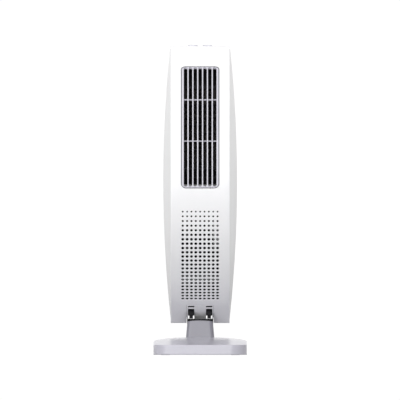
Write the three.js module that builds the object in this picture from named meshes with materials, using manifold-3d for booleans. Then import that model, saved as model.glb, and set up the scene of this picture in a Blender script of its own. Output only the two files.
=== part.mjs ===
// A ceramic tower heater: a half-moon body with a bowed front, on a tilting hinge, a neck and a domed base.
// Millimetres. +X is to the right seen from the front, +Y points to the back, +Z is up and Z = 0 is the floor.
import * as THREE from "three";
import { mergeVertices } from "three/addons/utils/BufferGeometryUtils.js";
import Module from "manifold-3d";

const wasm = await Module();
wasm.setup();

// ---- driving dimensions ----
const OVERALL_DEPTH = 235;
const BODY_TOP = 618;
const BODY_BOTTOM = 64;
const BODY_DEPTH = 230;
const GAP = 0.4; // air between two pieces that meet

const FACE_RADIUS = 285.5; // the bowed front, seen from the side
const FACE_APEX_Z = 347;
const ARC_END = THREE.MathUtils.degToRad(62); // below this angle the face runs on straight
const PANEL_HALF_WIDTH = 58.8;
const PANEL_WALL = 3;

const SHELL_WALL = 2.4;
const SHELL_FLARE = 15; // how much wider than the panel the back is at the apex's height
const FLARE_REACH = 276; // height above or below the apex at which the flare ends
const SHELL_TOP = 612;

const OUTLET = { halfWidth: 38.5, bottom: 333, top: 577.5, radius: 10 };
const SLOT_COUNT = 7;
const SLOT_WIDTH = 6.9;
const SLOT_PITCH = 9.7;
const RIB_HEIGHTS = [428, 511];
const GRILLE_DEPTH = 5; // from the face to the back of the grille and its bezel
const GRILLE_RECESS = 0.4;

const HOLE_COLUMNS = 9;
const HOLE_ROWS = 23;
const HOLE_PITCH_X = 8.7;
const HOLE_PITCH_S = 9.72;
const FIRST_ROW_S = -60.8;
const HOLE_DIAMETER = 5.8;
const SMALLEST_HOLE = 3.4;
const HOLE_GROWTH = 0.4; // from one row to the next, until the full diameter

const ARM_X = 18;
const ARM_SLOT_HALF = 6.3;
const ARM_SLOT_TOP = 92;
const ARM_WINDOW = [95.2, 98]; // a second opening, above the crossbar over each slot
const NOTCH_HALF = 27.2;
const NOTCH_TOP = 72.6;
const REAR_NOTCH_TOP = 80;

const FACE_Y = -OVERALL_DEPTH / 2;
const BACK_Y = FACE_Y + BODY_DEPTH;
const PIVOT = { y: FACE_Y + 173, z: 94 };
const PIN_RADIUS = 2;

const BASE = { halfWidth: 93.4, front: FACE_Y + 15, back: FACE_Y + OVERALL_DEPTH, crestY: FACE_Y + 185 };
const BASE_SKIRT_BOTTOM = 0.4;
const BASE_SKIRT_TOP = 20;
const BASE_CREST = 36;
const BASE_WALL = 2.5;
const BASE_CORNER = 36;
const BASE_SHOULDER = 0.45; // share of the dome's rise up to which its sides stay at full width

const NECK = { front: FACE_Y + 168, back: FACE_Y + 214, top: 67.4 };
const BUTTON_X = 14.5;
const BUTTON_HALF = 9.5;
const BUTTON_TOP = 620;

const BLOWER = { y: FACE_Y + 122, z: 240, radius: 60, left: -42, right: 26 };
const WHEEL_RADIUS = 46;
const SHAFT_RADIUS = 3;

// The heating core faces the middle of the outlet, so it is placed in a frame turned about the face's centre.
const CORE_TILT = THREE.MathUtils.degToRad(26.5);
const CORE_DISTANCE = 230;

// ---- colours and finishes ----
const plastic = (color, roughness = 0.45) =>
  new THREE.MeshStandardMaterial({ color, roughness, metalness: 0 });
const metal = (color, roughness = 0.35) =>
  new THREE.MeshStandardMaterial({ color, roughness, metalness: 1 });
const WHITE = plastic(0xf4f4f5);
const LILAC_GREY = plastic(0xc6c4ce);
const GRILLE_GREY = plastic(0xa9a7b2);
const BLACK = plastic(0x17171a);
const RUBBER = plastic(0x202022, 0.9);
const STEEL = metal(0xb9bbc0);
const ALUMINIUM = metal(0xc9ccd1);
const CERAMIC = plastic(0x8d8478, 0.8);
const BOARD_GREEN = plastic(0x1d5c38, 0.5);
const FOAM = plastic(0x4a4a4d, 1);

// ---- solids ----
const WELD = 1e-4; // points closer than this are one point

function solidOf(geometry) {
  const bare = geometry.index ? geometry.toNonIndexed() : geometry.clone();
  bare.deleteAttribute("normal");
  bare.deleteAttribute("uv");
  const merged = mergeVertices(bare, WELD);
  return new wasm.Manifold(
    new wasm.Mesh({
      numProp: 3,
      vertProperties: merged.attributes.position.array,
      triVerts: new Uint32Array(merged.index.array),
    }),
  );
}

function geometryOf(solid) {
  const mesh = solid.getMesh();
  const geometry = new THREE.BufferGeometry();
  geometry.setAttribute("position", new THREE.BufferAttribute(mesh.vertProperties, 3));
  geometry.setIndex(new THREE.BufferAttribute(mesh.triVerts, 1));
  const shaded = geometry.toNonIndexed();
  shaded.computeVertexNormals();
  return shaded;
}

function box([x0, x1], [y0, y1], [z0, z1]) {
  const geometry = new THREE.BoxGeometry(x1 - x0, y1 - y0, z1 - z0);
  return solidOf(geometry.translate((x0 + x1) / 2, (y0 + y1) / 2, (z0 + z1) / 2));
}

const TURN = { x: [0, 0, -Math.PI / 2], y: [0, 0, 0], z: [Math.PI / 2, 0, 0] };

// A round bar along an axis, from one end to the other, centred on the other two coordinates in X, Y, Z order.
function bar(axis, radius, [from, to], [first, second], sides = 24) {
  const geometry = new THREE.CylinderGeometry(radius, radius, to - from, sides);
  const [rx, ry, rz] = TURN[axis];
  geometry.rotateX(rx).rotateY(ry).rotateZ(rz);
  const middle = (from + to) / 2;
  const place = { x: [middle, first, second], y: [first, middle, second], z: [first, second, middle] }[axis];
  return solidOf(geometry.translate(...place));
}

// A profile of [y, z] points pushed along X from one side to the other.
function alongX(points, [x0, x1]) {
  const shape = new THREE.Shape(points.map(([y, z]) => new THREE.Vector2(y, z)));
  const geometry = new THREE.ExtrudeGeometry(shape, { depth: x1 - x0, bevelEnabled: false });
  geometry.rotateX(Math.PI / 2).rotateZ(Math.PI / 2);
  return solidOf(geometry.translate(x0, 0, 0));
}

// Closed rings of equal length, stacked upwards and anticlockwise seen from above.
function loft(rings) {
  const count = rings[0].length;
  const index = [];
  for (let level = 0; level < rings.length - 1; level++) {
    for (let i = 0; i < count; i++) {
      const a = level * count + i;
      const b = level * count + ((i + 1) % count);
      index.push(a, b, b + count, a, b + count, a + count);
    }
  }
  const last = (rings.length - 1) * count;
  const flat = (ring) => ring.map((p) => new THREE.Vector2(p.x, p.y));
  for (const [a, b, c] of THREE.ShapeUtils.triangulateShape(flat(rings[0]), [])) index.push(a, c, b);
  for (const [a, b, c] of THREE.ShapeUtils.triangulateShape(flat(rings.at(-1)), [])) {
    index.push(last + a, last + b, last + c);
  }
  const geometry = new THREE.BufferGeometry().setFromPoints(rings.flat());
  geometry.setIndex(index);
  return solidOf(geometry);
}

// A quarter circle from one angle, as points round a centre.
function cornerPoints(x, y, radius, startDegrees, steps) {
  return Array.from({ length: steps + 1 }, (_, i) => {
    const angle = THREE.MathUtils.degToRad(startDegrees + (90 * i) / steps);
    return new THREE.Vector2(x + radius * Math.cos(angle), y + radius * Math.sin(angle));
  });
}

function roundedRectangle(x0, x1, y0, y1, radius, steps = 5) {
  return [
    ...cornerPoints(x1 - radius, y1 - radius, radius, 0, steps),
    ...cornerPoints(x0 + radius, y1 - radius, radius, 90, steps),
    ...cornerPoints(x0 + radius, y0 + radius, radius, 180, steps),
    ...cornerPoints(x1 - radius, y0 + radius, radius, 270, steps),
  ];
}

const atHeight = (points, z) => points.map((p) => new THREE.Vector3(p.x, p.y, z));

// An upright block with rounded corners.
function roundedBlock([x0, x1], [y0, y1], [z0, z1], radius) {
  const plan = roundedRectangle(x0, x1, y0, y1, radius);
  return loft([atHeight(plan, z0), atHeight(plan, z1)]);
}

// ---- the bowed face: s is the distance along it, up from the apex, and out is the distance in front of it ----
function facePoint(s, out) {
  const angle = Math.max(s / FACE_RADIUS, -ARC_END);
  const straight = Math.min(s + ARC_END * FACE_RADIUS, 0);
  const radius = FACE_RADIUS + out;
  return {
    y: FACE_Y + FACE_RADIUS - radius * Math.cos(angle) - straight * Math.sin(ARC_END),
    z: FACE_APEX_Z + radius * Math.sin(angle) + straight * Math.cos(ARC_END),
  };
}

function faceDistance(z) {
  const arcBottom = FACE_APEX_Z - FACE_RADIUS * Math.sin(ARC_END);
  if (z >= arcBottom) return FACE_RADIUS * Math.asin((z - FACE_APEX_Z) / FACE_RADIUS);
  return -ARC_END * FACE_RADIUS - (arcBottom - z) / Math.cos(ARC_END);
}

// The sheet bends between every other pair of hole rows, and where the arc ends.
const BENDS = Array.from({ length: 33 }, (_, i) => FIRST_ROW_S + HOLE_PITCH_S * (0.5 + 2 * (i - 12)));
BENDS.unshift(-ARC_END * FACE_RADIUS);
const ON_BEND = 1e-6;
const FLATNESS = 0.001; // triangles this close to one plane are joined

// Splits a convex polygon at a bend line, so that a flat sheet can follow the bow.
function splitPolygon(corners, bend) {
  const side = corners.map((p) => p.y - bend);
  if (side.every((d) => d >= -ON_BEND) || side.every((d) => d <= ON_BEND)) return [corners];
  const upper = [];
  const lower = [];
  corners.forEach((p, i) => {
    const following = (i + 1) % corners.length;
    const q = corners[following];
    if (side[i] >= -ON_BEND) upper.push(p);
    if (side[i] <= ON_BEND) lower.push(p);
    if (Math.min(side[i], side[following]) < -ON_BEND && Math.max(side[i], side[following]) > ON_BEND) {
      const [low, high] = p.y < q.y ? [p, q] : [q, p];
      const crossing = low.clone().lerp(high, (bend - low.y) / (high.y - low.y));
      upper.push(crossing);
      lower.push(crossing);
    }
  });
  return [upper, lower];
}

function fan(polygon) {
  return polygon.slice(2).flatMap((corner, i) => [polygon[0], polygon[i + 1], corner]);
}

// A sheet drawn flat, with x across and y along the face, bent to the bow between two distances in front of it.
function bentSheet(outline, [back, front]) {
  const shape = new THREE.Shape(outline);
  const flat = new THREE.ExtrudeGeometry(shape, { depth: front - back, bevelEnabled: false });
  const position = flat.attributes.position;
  let polygons = [];
  for (let i = 0; i < position.count; i += 3) {
    polygons.push([0, 1, 2].map((k) => new THREE.Vector3().fromBufferAttribute(position, i + k)));
  }
  for (const bend of BENDS) polygons = polygons.flatMap((corners) => splitPolygon(corners, bend));
  const bent = polygons.flatMap(fan).map((p) => {
    const { y, z } = facePoint(p.y, p.z + back);
    return new THREE.Vector3(p.x, y, z);
  });
  return solidOf(new THREE.BufferGeometry().setFromPoints(bent)).simplify(FLATNESS);
}

const rectangle = (x0, x1, s0, s1) =>
  [[x0, s0], [x1, s0], [x1, s1], [x0, s1]].map(([x, s]) => new THREE.Vector2(x, s));

// ---- body: front ----
const OUTLET_S = [faceDistance(OUTLET.bottom), faceDistance(OUTLET.top)];

function outletOutline(inset) {
  const half = OUTLET.halfWidth - inset;
  return roundedRectangle(-half, half, OUTLET_S[0] + inset, OUTLET_S[1] - inset, OUTLET.radius - inset);
}

// A four-sided bar that stands square to the face at each hole.
function intakeHoles() {
  const holes = [];
  for (let row = 0; row < HOLE_ROWS; row++) {
    const radius = Math.min(SMALLEST_HOLE + HOLE_GROWTH * row, HOLE_DIAMETER) / 2;
    const s = FIRST_ROW_S - row * HOLE_PITCH_S;
    const { y, z } = facePoint(s, -PANEL_WALL / 2);
    for (let column = 0; column < HOLE_COLUMNS; column++) {
      const x = (column - (HOLE_COLUMNS - 1) / 2) * HOLE_PITCH_X;
      const geometry = new THREE.CylinderGeometry(radius, radius, PANEL_WALL + 2, 4);
      holes.push(solidOf(geometry.rotateX(Math.PI / 2 - s / FACE_RADIUS).translate(x, y, z)));
    }
  }
  return wasm.Manifold.union(holes);
}

function frontPanel() {
  const bottom = faceDistance(BODY_BOTTOM);
  const notch = faceDistance(NOTCH_TOP);
  const slot = faceDistance(ARM_SLOT_TOP);
  const through = [-PANEL_WALL - 2, 2];
  const cuts = [bentSheet(outletOutline(0), through), intakeHoles()];
  cuts.push(bentSheet(rectangle(-NOTCH_HALF, NOTCH_HALF, bottom - 5, notch), through));
  for (const x of [-ARM_X, ARM_X]) {
    const side = [x - ARM_SLOT_HALF, x + ARM_SLOT_HALF];
    cuts.push(bentSheet(rectangle(...side, notch - 2, slot), through));
    cuts.push(bentSheet(rectangle(...side, ...ARM_WINDOW.map(faceDistance)), through));
  }
  const sheet = rectangle(-PANEL_HALF_WIDTH, PANEL_HALF_WIDTH, bottom, faceDistance(BODY_TOP));
  return cuts.reduce((panel, cut) => panel.subtract(cut), bentSheet(sheet, [-PANEL_WALL, 0])).simplify(FLATNESS);
}

const BEZEL_WIDTH = 2;

function outletBezel() {
  const through = [-GRILLE_DEPTH - 2, 3];
  return bentSheet(outletOutline(GAP), [-GRILLE_DEPTH, 0]).subtract(bentSheet(outletOutline(BEZEL_WIDTH), through));
}

// Where along the face a feature has to sit for its front edge, out from the face, to be at the height z.
function distanceAtDepth(z, out) {
  return FACE_RADIUS * Math.asin((z - FACE_APEX_Z) / (FACE_RADIUS + out));
}

const SLOT_ENDS = { below: 4.2, above: 3.4 }; // material between the slots' ends and the outlet's edge
const RIB = { halfLength: 35, halfHeight: 1, depth: [-7, -4] };

function outletGrille() {
  let grille = bentSheet(outletOutline(BEZEL_WIDTH + GAP), [-GRILLE_DEPTH, -GRILLE_RECESS]);
  const half = SLOT_WIDTH / 2;
  const [low, high] = [OUTLET_S[0] + SLOT_ENDS.below, OUTLET_S[1] - SLOT_ENDS.above];
  for (let i = 0; i < SLOT_COUNT; i++) {
    const x = (i - (SLOT_COUNT - 1) / 2) * SLOT_PITCH;
    const slot = roundedRectangle(x - half, x + half, low, high, half - 0.05, 3);
    grille = grille.subtract(bentSheet(slot, [-GRILLE_DEPTH - 2, 2]));
  }
  for (const z of RIB_HEIGHTS) {
    const s = distanceAtDepth(z, RIB.depth[1]);
    const strip = rectangle(-RIB.halfLength, RIB.halfLength, s - RIB.halfHeight, s + RIB.halfHeight);
    grille = grille.add(bentSheet(strip, RIB.depth));
  }
  return grille;
}

// Thin slats spread evenly in angle about the face's centre, on a radius well behind the face.
const LOUVRE = { radius: 190, slats: 10, topAngle: 53, step: 5.72, rise: 3, depth: [-25, -13] };
const SLAT = { halfLength: 34, halfThickness: 0.6 };
const RAIL = { inner: 33.5, outer: 35.5, beyondSlats: 8 };

function innerLouvre() {
  const distances = Array.from({ length: LOUVRE.slats }, (_, i) => {
    const angle = THREE.MathUtils.degToRad(LOUVRE.topAngle - i * LOUVRE.step);
    return distanceAtDepth(FACE_APEX_Z + LOUVRE.rise + LOUVRE.radius * Math.sin(angle), LOUVRE.depth[1]);
  });
  const low = distances.at(-1) - RAIL.beyondSlats;
  const high = distances[0] + RAIL.beyondSlats;
  let louvre = bentSheet(rectangle(RAIL.inner, RAIL.outer, low, high), LOUVRE.depth);
  louvre = louvre.add(bentSheet(rectangle(-RAIL.outer, -RAIL.inner, low, high), LOUVRE.depth));
  for (const s of distances) {
    const { halfLength, halfThickness } = SLAT;
    const slat = rectangle(-halfLength, halfLength, s - halfThickness, s + halfThickness);
    louvre = louvre.add(bentSheet(slat, LOUVRE.depth));
  }
  return louvre;
}

// ---- body: shell ----
const SHELL_CORNER = { end: 9, growth: 14 }; // rear corner radius at top and bottom, and what the flare adds
const HOLLOW_FORWARD = 12; // the hollow runs this far out through the open front

function flareAt(z) {
  return SHELL_FLARE * Math.max(0, 1 - ((z - FACE_APEX_Z) / FLARE_REACH) ** 2);
}

// The shell's plan at the face distance s, drawn in from its outer skin by inset; its front edge backs the panel.
function shellRing(s, inset, forward) {
  const { y: rim, z } = facePoint(s, -PANEL_WALL - GAP);
  const radius = SHELL_CORNER.end + SHELL_CORNER.growth * (flareAt(z) / SHELL_FLARE) - inset / 2;
  const half = PANEL_HALF_WIDTH + flareAt(z) - inset;
  const back = BACK_Y - inset;
  const front = rim - forward;
  const outline = [
    new THREE.Vector2(PANEL_HALF_WIDTH - inset, front),
    ...cornerPoints(half - radius, back - radius, radius, 0, 4),
    ...cornerPoints(radius - half, back - radius, radius, 90, 4),
    new THREE.Vector2(inset - PANEL_HALF_WIDTH, front),
  ];
  return atHeight(outline, z);
}

function shellLevels(bottom, top) {
  const wanted = (s) => {
    const { z } = facePoint(s, -PANEL_WALL - GAP);
    return z > bottom + 1 && z < top - 1;
  };
  const offset = (z) => {
    let s = faceDistance(z);
    for (let i = 0; i < 60; i++) s += z - facePoint(s, -PANEL_WALL - GAP).z;
    return s;
  };
  return [offset(bottom), ...BENDS.filter((s, i) => i % 2 === 0 && wanted(s)), offset(top)];
}

const REAR_GRILLE = { halfWidth: 40, bottom: 150, top: 340, thickness: 4 };
const REAR_SLOT = { inner: 1.5, outer: 34, height: 5, pitch: 10, margin: 12 };
const REAR_SCREWS = [[-44, 110], [44, 110], [-42, 590], [42, 590]];
const REAR_SCREW = { holeRadius: 4.2, headRadius: 3.7, shankRadius: 1.6, sunk: 0.4, length: 14 };
const THROUGH_BACK = [BACK_Y - 10, BACK_Y + 5];

function rearShell() {
  const outer = loft(shellLevels(BODY_BOTTOM, SHELL_TOP).map((s) => shellRing(s, 0, 0)));
  const hollowLevels = shellLevels(BODY_BOTTOM + SHELL_WALL, SHELL_TOP + 1);
  const hollow = loft(hollowLevels.map((s) => shellRing(s, SHELL_WALL, HOLLOW_FORWARD)));
  const { halfWidth, bottom, top } = REAR_GRILLE;
  let shell = outer.subtract(hollow);
  shell = shell.subtract(box([-halfWidth, halfWidth], THROUGH_BACK, [bottom, top]));
  shell = shell.subtract(box([-NOTCH_HALF, NOTCH_HALF], [FACE_Y, THROUGH_BACK[1]], [0, REAR_NOTCH_TOP]));
  for (const place of REAR_SCREWS) shell = shell.subtract(bar("y", REAR_SCREW.holeRadius, THROUGH_BACK, place, 12));
  return shell;
}

function rearScrew(place) {
  const { headRadius, shankRadius, sunk, length } = REAR_SCREW;
  const head = bar("y", headRadius, [BACK_Y - 2, BACK_Y - sunk], place, 12);
  return head.add(bar("y", shankRadius, [BACK_Y - length, BACK_Y - 1.5], place, 8));
}

function rearIntakeGrille() {
  const { halfWidth, bottom, top, thickness } = REAR_GRILLE;
  const { inner, outer, height, pitch, margin } = REAR_SLOT;
  const through = [BACK_Y - thickness - 1, BACK_Y + 1];
  let grille = box([GAP - halfWidth, halfWidth - GAP], [BACK_Y - thickness, BACK_Y], [bottom + GAP, top - GAP]);
  for (let z = bottom + margin; z < top - margin + 2; z += pitch) {
    grille = grille.subtract(box([-outer, -inner], through, [z, z + height]));
    grille = grille.subtract(box([inner, outer], through, [z, z + height]));
  }
  return grille;
}

const CAP_CORNER = 9;

// The cap's front edge follows the bow, so a wedge is cut away in front of it.
function topCap() {
  const front = facePoint(faceDistance(BODY_TOP), -PANEL_WALL - GAP);
  const half = PANEL_HALF_WIDTH + 0.2;
  const edge = front.y + 0.6;
  const [under, over] = [SHELL_TOP - 5, BODY_TOP + 5];
  let cap = roundedBlock([-half, half], [front.y - 30, BACK_Y], [SHELL_TOP + GAP, BODY_TOP], CAP_CORNER);
  const wedge = [[FACE_Y, under], [front.y - 9, under], [edge, front.z], [edge, over], [FACE_Y, over]];
  cap = cap.subtract(alongX(wedge, [-70, 70]));
  for (const x of [-BUTTON_X, BUTTON_X]) cap = cap.subtract(buttonBlock(x, GAP, [under, over]));
  return cap;
}

const BUTTON_Y = [BACK_Y - 26, BACK_Y - 12];
const BUTTON_CORNER = 4;
const BUTTON_SPAN = [608.5, BUTTON_TOP];

function buttonBlock(x, grow, height) {
  const half = BUTTON_HALF + grow;
  return roundedBlock([x - half, x + half], [BUTTON_Y[0] - grow, BUTTON_Y[1] + grow], height, BUTTON_CORNER + grow);
}

function controlBoard() {
  const top = 599.6;
  const board = box([-50, 50], [BACK_Y - 26, BACK_Y - 8], [top - 1.6, top]);
  const tactSwitch = (x) => box([x - 3, x + 3], [BACK_Y - 22, BACK_Y - 16], [top - 0.6, top + 6.4]);
  return board.add(tactSwitch(-BUTTON_X)).add(tactSwitch(BUTTON_X));
}

// ---- body: heating core, in the turned frame where -Y faces the outlet ----
const CORE = { halfWidth: 31, halfHeight: 88, halfDepth: 7 };
const CORE_RIM = { x: 6, z: 7, halfDepth: 9 };
const CERAMIC_BARS = [-30.5, -12.5, 9.5, 27.5]; // left edges of the upright heating bars
const CERAMIC_BAR_WIDTH = 3;
const FIN = { pitch: 11, halfThickness: 0.6, halfLength: 29 };

function coreFrame() {
  const { halfWidth, halfHeight } = CORE;
  const depth = [-CORE_DISTANCE - CORE_RIM.halfDepth, -CORE_DISTANCE + CORE_RIM.halfDepth];
  const side = halfWidth + CORE_RIM.x;
  const end = halfHeight + CORE_RIM.z;
  const through = [-CORE_DISTANCE - 20, -CORE_DISTANCE + 20];
  return box([-side, side], depth, [-end, end]).subtract(
    box([-halfWidth, halfWidth], through, [-halfHeight, halfHeight]),
  );
}

function heatingCore() {
  const depth = [-CORE_DISTANCE - CORE.halfDepth, -CORE_DISTANCE + CORE.halfDepth];
  const end = CORE.halfHeight - 1;
  const bars = CERAMIC_BARS.map((x) => box([x, x + CERAMIC_BAR_WIDTH], depth, [-end, end]));
  let core = wasm.Manifold.union(bars);
  for (let z = 4.5 - end; z < end; z += FIN.pitch) {
    const fin = box([-FIN.halfLength, FIN.halfLength], depth, [z - FIN.halfThickness, z + FIN.halfThickness]);
    core = core.add(fin);
  }
  return core;
}

function thermalCutout() {
  return bar("y", 7, [-CORE_DISTANCE + 9.5, -CORE_DISTANCE + 16], [0, 91], 16);
}

const DUCT = { halfWidth: 41, front: 18, back: 60, bottom: -92, top: 100, wall: 2.5 };

// Open at the front, towards the core, and at the bottom, towards the blower's mouth.
function airDuct() {
  const { halfWidth, front, back, bottom, top, wall } = DUCT;
  const outer = box([-halfWidth, halfWidth], [-CORE_DISTANCE + front, -CORE_DISTANCE + back], [bottom, top]);
  const space = halfWidth - wall;
  const inner = box([-space, space], [-CORE_DISTANCE, -CORE_DISTANCE + back - wall], [bottom - 3, top - wall]);
  return outer.subtract(inner);
}

// ---- body: blower ----
const HOUSING_WALL = 2.2;
const MOUTH = { y: [BLOWER.y - BLOWER.radius, BLOWER.y - 5], top: 322 };
const INLET_RADIUS = 36;
const SHAFT_HOLE_RADIUS = 8;

// A drum with a square mouth on top, an inlet on the left and a hole for the shaft on the right.
function blowerHousing() {
  const { y, z, radius, left, right } = BLOWER;
  const wall = HOUSING_WALL;
  const outer = bar("x", radius, [left, right], [y, z], 32).add(box([left, right], MOUTH.y, [z, MOUTH.top]));
  const space = bar("x", radius - wall, [left + wall, right - wall], [y, z], 32).add(
    box([left + wall, right - wall], [MOUTH.y[0] + wall, MOUTH.y[1] - wall], [z, MOUTH.top + 5]),
  );
  const inlet = bar("x", INLET_RADIUS, [left - 5, left + 5], [y, z], 24);
  const shaftHole = bar("x", SHAFT_HOLE_RADIUS, [right - 5, right + 5], [y, z], 16);
  return outer.subtract(space).subtract(inlet).subtract(shaftHole);
}

const WHEEL_X = [BLOWER.left + 8, BLOWER.right - 6];
const BLADE = { count: 24, thickness: 1.2, chord: 7, pitch: 0.6, inset: 4.4 };
const HUB = { radius: 9, length: 16 };

function blowerWheel() {
  const { y, z, left, right } = BLOWER;
  const [from, to] = WHEEL_X;
  const disc = bar("x", WHEEL_RADIUS, [to - 2, to], [y, z], 24);
  const ring = bar("x", WHEEL_RADIUS, [from, from + 2], [y, z], 24);
  const eye = bar("x", WHEEL_RADIUS - 8, [from - 1, from + 3], [y, z], 24);
  const hub = bar("x", HUB.radius, [to - HUB.length, to], [y, z], 16);
  let wheel = disc.add(hub).add(ring.subtract(eye));
  for (let i = 0; i < BLADE.count; i++) {
    const blade = new THREE.BoxGeometry(to - from - 2, BLADE.thickness, BLADE.chord);
    blade.rotateX(BLADE.pitch).translate((from + to) / 2, 0, WHEEL_RADIUS - BLADE.inset);
    blade.rotateX((i * 2 * Math.PI) / BLADE.count).translate(0, y, z);
    wheel = wheel.add(solidOf(blade));
  }
  return wheel.subtract(bar("x", SHAFT_RADIUS + 0.3, [left, right + 10], [y, z], 12));
}

const MOTOR_X = [BLOWER.right + GAP, BLOWER.right + 24];
const MOTOR = { canRadius: 22, flangeRadius: 28, flangeThickness: 3 };

function motorShaft() {
  return bar("x", SHAFT_RADIUS, [BLOWER.left + 14, MOTOR_X[1] - 6], [BLOWER.y, BLOWER.z], 12);
}

function motor() {
  const { y, z } = BLOWER;
  const [from, to] = MOTOR_X;
  const can = bar("x", MOTOR.canRadius, MOTOR_X, [y, z], 24);
  const flange = bar("x", MOTOR.flangeRadius, [from, from + MOTOR.flangeThickness], [y, z], 24);
  return can.add(flange).subtract(bar("x", SHAFT_RADIUS + 0.5, [from - 5, to - 4], [y, z], 12));
}

function dustFilter() {
  const { halfWidth, bottom, top, thickness } = REAR_GRILLE;
  const y = [BACK_Y - thickness - 7, BACK_Y - thickness - 1];
  return box([3 - halfWidth, halfWidth - 3], y, [bottom + 8, top - 8]);
}

function powerBoard() {
  const y = BACK_Y - 20;
  const board = box([-36, 36], [y, y + 1.6], [352, 442]);
  const relay = box([-28, -12], [y - 14, y + 1], [360, 388]);
  const capacitor = bar("y", 7, [y - 18, y + 1], [15, 380], 16);
  return board.add(relay).add(capacitor);
}

// ---- tilting hinge ----
const ARM = { halfWidth: 6, stemHalfWidth: 3.7, headRadius: 8.5, headBottom: 80, mouth: 2.3, clearance: 0.35 };
const PIN_REACH = 8.6; // half the length of a pin, into the cheeks on either side of its arm
const CHEEK = { thickness: 2, front: FACE_Y + 158, back: FACE_Y + 205, top: 106, frontBottom: 98, backBottom: 73.2 };

function pivotBracket() {
  const { thickness, front, back, top, frontBottom, backBottom } = CHEEK;
  const profile = [[front, frontBottom], [back, backBottom], [back, top], [front, top]];
  const starts = [-ARM_X, ARM_X].flatMap((x) => [x - PIN_REACH, x + PIN_REACH - thickness]);
  let bracket = box([-ARM_X - PIN_REACH, ARM_X + PIN_REACH], [back - 2, back], [84, top]);
  for (const x of starts) bracket = bracket.add(alongX(profile, [x, x + thickness]));
  return bracket.subtract(bar("x", PIN_RADIUS + 0.3, [-40, 40], [PIVOT.y, PIVOT.z], 16));
}

function hingePin(side) {
  return bar("x", PIN_RADIUS, [side * ARM_X - PIN_REACH, side * ARM_X + PIN_REACH], [PIVOT.y, PIVOT.z], 16);
}

// A hook with its mouth to the front, on a narrower stem.
function hingeArm(side) {
  const x = side * ARM_X;
  const { y, z } = PIVOT;
  const wide = [x - ARM.halfWidth, x + ARM.halfWidth];
  const wider = [x - 10, x + 10];
  const head = bar("x", ARM.headRadius, wide, [y, z], 24).add(box(wide, [y - 5.5, y + 7], [ARM.headBottom, z]));
  const narrow = [x - ARM.stemHalfWidth, x + ARM.stemHalfWidth];
  const stem = box(narrow, [y - 3.5, y + 7], [NECK_CAP_TOP + GAP, ARM.headBottom + 4]);
  const eye = bar("x", PIN_RADIUS + ARM.clearance, wider, [y, z], 16);
  const mouth = box(wider, [y - 12, y], [z - ARM.mouth, z + ARM.mouth]);
  return head.add(stem).subtract(eye).subtract(mouth);
}

// ---- neck ----
const NECK_CAP_TOP = 72.6;
const NECK_SLOPE = 0.45;
const NECK_SLOPE_START = NECK.front + 12.5;
const NECK_TAPER = 0.09; // spread of each side per millimetre below the top
const NECK_HALF = 25.6;
const NECK_CORNER = 9;
const NECK_WALL = 4;

function neckRing(z) {
  const spread = NECK_TAPER * (NECK.top - z);
  const half = NECK_HALF + spread;
  return atHeight(roundedRectangle(-half, half, NECK.front - spread, NECK.back + spread, NECK_CORNER), z);
}

// Everything above or below the neck's top line, which is level in front and falls away to the back.
function beyondNeckTop(top, limit) {
  const [front, back] = [NECK.front - 20, NECK.back + 12];
  const line = [[front, top], [NECK_SLOPE_START, top], [back, top - NECK_SLOPE * (back - NECK_SLOPE_START)]];
  const points = [...line, [back, limit], [front, limit]];
  return alongX(limit > top ? points : points.reverse(), [-40, 40]);
}

function neckShell() {
  const outer = loft([neckRing(20), neckRing(NECK.top)]);
  const depth = [NECK.front + NECK_WALL, NECK.back - NECK_WALL];
  const hollow = roundedBlock([NECK_WALL - NECK_HALF, NECK_HALF - NECK_WALL], depth, [0, 53], 6);
  return outer.subtract(hollow).subtract(beyondNeckTop(NECK.top, 90)).subtract(baseDome(GAP));
}

// The cap's fall to the back leaves room for the body's lower edge as it tilts.
function neckCap() {
  const depth = [NECK.front + GAP, NECK.back - GAP];
  const half = NECK_HALF + 0.6;
  const block = roundedBlock([-half, half], depth, [50, NECK_CAP_TOP], NECK_CORNER - GAP);
  return block.subtract(beyondNeckTop(NECK_CAP_TOP, 90)).subtract(beyondNeckTop(NECK.top + GAP, 30));
}

// ---- base ----
const BASE_LEVELS = [0, 0.3, 0.5, 0.65, 0.8, 0.9, 0.96];

// The dome's plan keeps its full width up to the shoulder and shrinks towards its crest from there. Its front
// edge runs back steadily all the way, and its rear edge only near the crest.
function baseDome(grow) {
  const { halfWidth, front, back, crestY } = BASE;
  const rings = BASE_LEVELS.map((h) => {
    const half = halfWidth * Math.sqrt(1 - (Math.max(0, h - BASE_SHOULDER) / (1 - BASE_SHOULDER)) ** 2);
    const near = crestY - (crestY - front) * Math.sqrt(1 - h);
    const far = crestY + (back - crestY) * (1 - h ** 2) ** 0.35;
    const plan = roundedRectangle(-half, half, near, far, BASE_CORNER * (1 - 0.3 * h));
    return atHeight(plan, BASE_SKIRT_TOP + (BASE_CREST - BASE_SKIRT_TOP) * h + grow);
  });
  const foot = roundedRectangle(-halfWidth, halfWidth, front, back, BASE_CORNER);
  return loft([atHeight(foot, BASE_SKIRT_BOTTOM), ...rings]);
}

function baseCover() {
  const shrink = (value) => value - 2 * BASE_WALL;
  const inner = new THREE.Matrix4();
  const middle = (BASE.front + BASE.back) / 2;
  const sx = shrink(2 * BASE.halfWidth) / (2 * BASE.halfWidth);
  const sy = shrink(BASE.back - BASE.front) / (BASE.back - BASE.front);
  inner.makeScale(sx, sy, 1).setPosition(0, middle * (1 - sy), -BASE_WALL);
  const dome = baseDome(0);
  return dome.subtract(solidOf(geometryOf(dome).applyMatrix4(inner)));
}

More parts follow.
